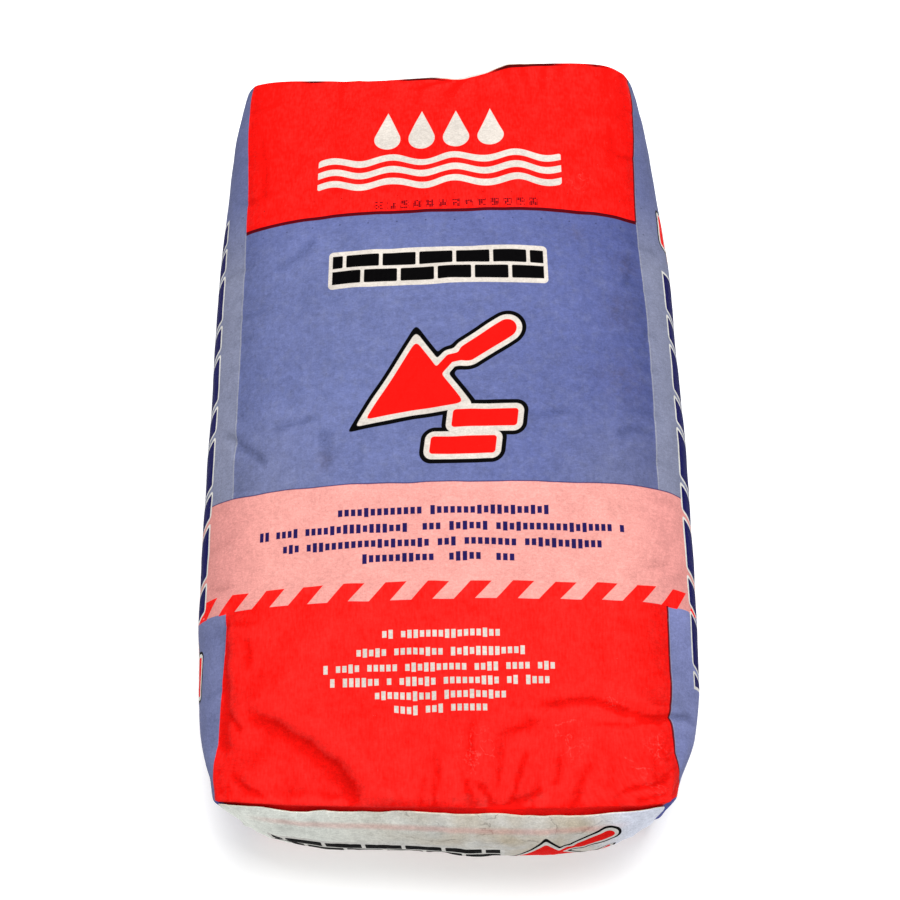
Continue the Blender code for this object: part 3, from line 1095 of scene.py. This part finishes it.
def hazard_stripes(ink, u, v):
    lean = STRIPE_SHIFT / (STRIPE_TOP - STRIPE_FOOT)
    across = u - (STRIPE_PHASE + STRIPE_PITCH / 4) - (v - STRIPE_FOOT) * lean
    stripe = inside(abs(across.in_cells(STRIPE_PITCH)) - STRIPE_PITCH / 4)
    ink.lay(RED, stripe * between(v, STRIPE_FOOT - 0.6, STRIPE_TOP))


def tube_print(tree, u, v):
    """Everything printed on the tube, with some painted light and shade."""
    # The sides' pale blue, under the rest, is partly their print and partly painted sheen.
    ink = Print(tree, PALE_BLUE)
    over_front = abs(u) - PANEL_EDGE
    panel = inside(over_front).most(inside(BACK_EDGE - abs(u)))
    end_bands = inside(TOP_BAND_EDGE - v).most(inside(v - STRIPE_FOOT))
    ink.lay(BLUE, panel)
    ink.lay(DEEP_BLUE, inside(over_front) * u.over(-30, 150))
    ink.lay(PALE_BLUE, panel * abs(u).over(60, 110) * v.over(0, -60) * 0.35)
    ink.lay(PALE_BLUE, panel * cloud(tree, 6, 22, 3).over(0.0, 0.30) * 0.2)
    ink.darken(panel * cloud(tree, 4, 29, 4).over(-0.1, 0.30) * 0.19)
    ink.lay(SIDE_BLUE, inside(v - STRIPE_FOOT))
    # Painted light: the +X side lighter in patches below the stripes.
    lit = inside(v - STRIPE_FOOT) * u.over(120, 150)
    ink.lay(LIT_BLUE, lit * cloud(tree, 34, 30).over(-0.25, 0.15) * 0.6)
    ink.lay(DEEP_BLUE, v.over(105, 165) * 0.6)
    ink.lay(RED, panel * end_bands)
    # Painted highlight: a thin pale line just outside the front panel's folds, left out beside the red bands
    # on the -X side.
    fold_highlight = between(abs(u), PANEL_EDGE, PANEL_EDGE + 0.9, 0.4) * (1 - end_bands * u.over(10, 0))
    ink.lay(SHEET_WHITE, fold_highlight * 0.2)
    ink.lay(PINK, pink_band(v))
    # Painted shade: the pink band darker towards the front's rounded edges.
    ink.lay(SHADED_PINK, pink_band(v) * abs(u).over(112, 146) * 0.4)
    hazard_stripes(ink, u, v)
    # Paper white laid thinly, carrying painted shade and light from the creases.
    ink.lay(PAPER_WHITE, thin_ink_and_painted_shade(tree, u, v) * 0.027)
    ink.lay(MAROON, panel * between(v, TOP_BAND_EDGE - 1.9, TOP_BAND_EDGE + 0.9))
    ink.lay(NAVY, between(v, PINK_EDGE - 0.4, PINK_EDGE + 0.4) * 0.75)
    ink.lay(MAROON, between(u, PANEL_EDGE - 0.9, PANEL_EDGE + 0.5) * end_bands * 0.9)
    # Dark spans along the head's front fold.
    for start, end in DARK_HEAD_FOLD_SPANS:
        ink.lay(BLACK, between(u, start, end, 6.0) * inside(END_FOLD - 3.4 - v, 0.5) * 0.9)
    side_print(ink, u, v)
    pin_holes(ink, u, v)
    water_band(ink, u, v)
    dotted_strip(ink, u, v)
    brick_band(ink, u, v, (-1, 92), 1.0, PAPER_WHITE)
    trowel_emblem(ink, u, v, (0, 0), 1.0, PAPER_WHITE)
    plain_lines(ink, u, v, TEXT_NAVY, PINK_BAND_ROWS, half_height=2.3, pitch=4.2)
    plain_lines(ink, u, v, PAPER_WHITE, RED_BAND_ROWS, half_height=2.0, pitch=3.9)
    handling_marks_and_shade(ink, u, v)
    return ink


def end_print(tree, across, up):
    """The folded end: the flaps of the front and back, and between them the sides' ears, with painted shade
    just under the front and back folds.
    """
    ink = Print(tree, RED)
    # Painted shade just under the front and back folds.
    ink.lay(MAROON, abs(up).over(50, 46) * 0.3)
    ear = (PANEL_EDGE - abs(across)) - (SIDE_WIDTH / 2 / MM - abs(up))
    # The ears' blue print, made darker as painted shade.
    ink.lay(SHADED_EAR_BLUE, inside(ear))
    ink.lay(MAROON, between(ear, -0.3, 0.6) * 0.6)
    ink.lay(BLACK, length((across + 132) / 2.5, up - 51).over(3.4, 1.0) * 0.85)
    return ink


def foot_sheet_print(tree, across, up):
    """The foot's cover sheet: white, with a faint pink set-off line and the same two motifs."""
    ink = Print(tree, SHEET_WHITE)
    ink.lay(SHEET_BRIGHT, across.over(30, -90))
    ink.lay(SHEET_BEIGE, across.over(-80, 30) * cloud(tree, 22, 26, 4, 0.7).over(-0.2, 0.15) * 0.9)
    veins = 1 - (abs(cloud(tree, 22, 27, 4, 0.6)) * 60).least(1.0)
    ink.lay(DIRT, veins * cloud(tree, 16, 28, 2).over(-0.05, 0.05) * across.over(-60, -10) * 0.55)
    ink.lay(DIRT, cloud(tree, 11, 32, 4).over(0.05, 0.3) * 0.22)
    ink.lay(SHEET_BLUE, across.over(84, 110))
    offset = between(up, 34.5, 38.5, 1.2) * between(across, -110, 100, 12)
    ink.lay(PINK, offset * 0.4)
    brick_band(ink, across, up, (-38, 4), 0.98, SHEET_WHITE)
    trowel_emblem(ink, across, up, (69, 4), 0.62, SHEET_WHITE)
    return ink


def head_sheet_print(tree, across, up):
    ink = Print(tree, SHEET_WHITE)
    ink.lay(PINK, between(up, -36.0, -32.0, 1.2) * between(across, -90, 110, 12) * 0.25)
    return ink


# The papers.


def paper_uv(tree):
    """The output that gives the place on the paper, in metres."""
    places = tree.nodes.get("paper") or tree.nodes.new("ShaderNodeUVMap")
    places.name = "paper"
    places.uv_map = "paper"
    return places.outputs[0]


def cloud(tree, size, seed, detail=2.0, stretch=1.0, twist=0.0):
    """Soft random variation around 0, about that many millimetres in size, stretched along the sack."""
    place = tree.nodes.new("ShaderNodeVectorMath")
    place.operation = "MULTIPLY_ADD"
    place.inputs[1].default_value = (1 / (size * MM), 1 / (size * stretch * MM), 1)
    place.inputs[2].default_value = (0, 0, seed * 7.3)
    tree.links.new(paper_uv(tree), place.inputs[0])
    noise = tree.nodes.new("ShaderNodeTexNoise")
    noise.inputs["Scale"].default_value = 1
    noise.inputs["Detail"].default_value = detail
    noise.inputs["Distortion"].default_value = twist
    tree.links.new(place.outputs[0], noise.inputs["Vector"])
    return Term(noise.outputs["Fac"]) - 0.5


def hollow(tree):
    """How deep the paper lies in a crease there."""
    depth = tree.nodes.new("ShaderNodeAttribute")
    depth.attribute_name = "hollow"
    return Term(depth.outputs["Fac"])


def paper_places(tree):
    """The place on the paper, in millimetres."""
    parts = tree.nodes.new("ShaderNodeSeparateXYZ")
    tree.links.new(paper_uv(tree), parts.inputs[0])
    return Term(parts.outputs[0]) / MM, Term(parts.outputs[1]) / MM


def paper_material(name, print_on, roughness, fold_distance=None, soil=0.2):
    """Sack paper: printed, mottled by its fibres, a little cockled, rubbed and dusty, with painted shade in
    its creases.
    """
    material = bpy.data.materials.new(name)
    material.use_nodes = True
    tree = material.node_tree
    shader = tree.nodes["Principled BSDF"]
    u, v = paper_places(tree)
    ink = print_on(tree, u, v)

    mottle = cloud(tree, 48, 1, 3) * 0.22 + cloud(tree, 13, 21, 3) * 0.22
    crepe = (abs(cloud(tree, 4.6, 12, 2, 0.5, 1.2)) * 7.0).least(1.0) * -0.15
    crepe = crepe - cloud(tree, 2.4, 2, 3, 0.6, 0.8) * 0.36
    fibres = cloud(tree, 0.8, 3, 2, 2.0) * 0.28 + cloud(tree, 1.6, 13, 2, 9.0) * 0.12
    # The hollow term is painted shade in the creases.
    ink.darken(1 - (mottle + fibres - crepe - hollow(tree) * 0.14 + 0.91) * PAPER_LEVEL)

    stains = cloud(tree, 46, 4, 3).over(0.04, 0.34) * cloud(tree, 5, 5, 2).over(-0.2, 0.3)
    ink.darken(stains * soil * 0.8)
    specks = cloud(tree, 1.6, 6, 1).over(0.25, 0.31) * cloud(tree, 30, 7).over(0.0, 0.2)
    ink.lay(DIRT, specks * (soil * 2))
    if fold_distance:
        rub = inside(fold_distance(u, v) - 0.5, 0.8) * cloud(tree, 5.0, 8, 2).over(0.10, 0.30)
        ink.lay(PAPER_WHITE, rub * 0.12)
    tree.links.new(ink.colour, shader.inputs["Base Color"])

    shader.inputs["Roughness"].default_value = roughness
    shader.inputs["Specular IOR Level"].default_value = 0.02

    cockles = cloud(tree, 2.6, 11, 2, 1.8) * 0.38 + cloud(tree, 11, 20, 2, 1.5)
    bump = tree.nodes.new("ShaderNodeBump")
    bump.inputs["Distance"].default_value = MM
    tree.links.new(cockles.socket, bump.inputs["Height"])
    tree.links.new(bump.outputs[0], shader.inputs["Normal"])
    return material


def tube_fold_distance(u, v):
    return abs(abs(abs(u) - SIDE_MIDDLE) - SIDE_WIDTH / 2 / MM)


def plain_kraft(tree, u, v):
    return Print(tree, KRAFT)


def cut_paper_edge(tree, u, v):
    return Print(tree, CUT_EDGE)


# The stage.


def build_floor():
    """A pale floor, faintly lit from within like a studio's light table."""
    half = 4.0
    corners = [(-half, -half, 0), (half, -half, 0), (half, half, 0), (-half, half, 0)]
    mesh = bpy.data.meshes.new("floor")
    mesh.from_pydata(corners, [], [(0, 1, 2, 3)])
    material = bpy.data.materials.new("pale_floor")
    material.use_nodes = True
    shader = material.node_tree.nodes["Principled BSDF"]
    shader.inputs["Base Color"].default_value = (0.75, 0.75, 0.75, 1)
    shader.inputs["Roughness"].default_value = 0.9
    shader.inputs["Specular IOR Level"].default_value = 0.1
    shader.inputs["Emission Color"].default_value = (1, 1, 1, 1)
    shader.inputs["Emission Strength"].default_value = FLOOR_GLOW
    mesh.materials.append(material)
    floor = bpy.data.objects.new("floor", mesh)
    bpy.context.scene.collection.objects.link(floor)


def light_studio():
    """An even white sky, and a square soft box that faces the sack."""
    world = bpy.data.worlds.new("studio")
    world.use_nodes = True
    sky = world.node_tree.nodes["Background"]
    sky.inputs["Color"].default_value = (1, 1, 1, 1)
    sky.inputs["Strength"].default_value = SKY_STRENGTH
    bpy.context.scene.world = world
    light = bpy.data.lights.new("key", "AREA")
    light.size = KEY_SIZE
    light.energy = KEY_POWER
    lamp = bpy.data.objects.new("key", light)
    lamp.location = KEY_PLACE
    lamp.rotation_euler = (-Vector(KEY_PLACE)).to_track_quat("-Z", "Y").to_euler()
    bpy.context.scene.collection.objects.link(lamp)
    bpy.context.scene.view_settings.view_transform = "Standard"


def place_camera():
    """The photograph's view: from above the foot end, nearly straight down."""
    lens = bpy.data.cameras.new("camera")
    lens.lens = CAMERA_LENS
    camera = bpy.data.objects.new("camera", lens)
    camera.matrix_world = Matrix.Translation(CAMERA_PLACE)
    for angle, axis in ((CAMERA_YAW, "Z"), (math.pi / 2 - CAMERA_PITCH, "X"), (CAMERA_ROLL, "Z")):
        camera.matrix_world @= Matrix.Rotation(angle, 4, axis)
    bpy.context.scene.collection.objects.link(camera)
    bpy.context.scene.camera = camera


def put_on(piece, node):
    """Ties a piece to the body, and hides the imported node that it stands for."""
    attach(piece, "root")
    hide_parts(node)


def main():
    place_camera()
    light_studio()
    build_floor()

    tube_paper = paper_material("printed_tube_paper", tube_print, 0.62, tube_fold_distance)
    end_paper = paper_material("printed_end_paper", end_print, 0.62)
    sack, ends = build_sack(tube_paper, end_paper)
    put_on(sack, "sack")

    foot_paper = paper_material("foot_sheet_paper", foot_sheet_print, 0.75, soil=0.45)
    edge_paper = paper_material("cut_paper_edge", cut_paper_edge, 0.8)
    foot_sheet = pasted_sheet("foot_sheet", ends[-1], -1, FOOT_SHEET_SPAN, foot_paper, edge_paper)
    put_on(foot_sheet, "foot_cover_sheet")
    head_paper = paper_material("head_sheet_paper", head_sheet_print, 0.75, soil=0.3)
    head_sheet = pasted_sheet("head_sheet", ends[1], 1, HEAD_SHEET_SPAN, head_paper, edge_paper)
    put_on(head_sheet, "head_cover_sheet")

    sleeve = build_sleeve(ends[1], paper_material("sleeve_paper", plain_kraft, 0.8))
    put_on(sleeve, "valve_sleeve")


main()
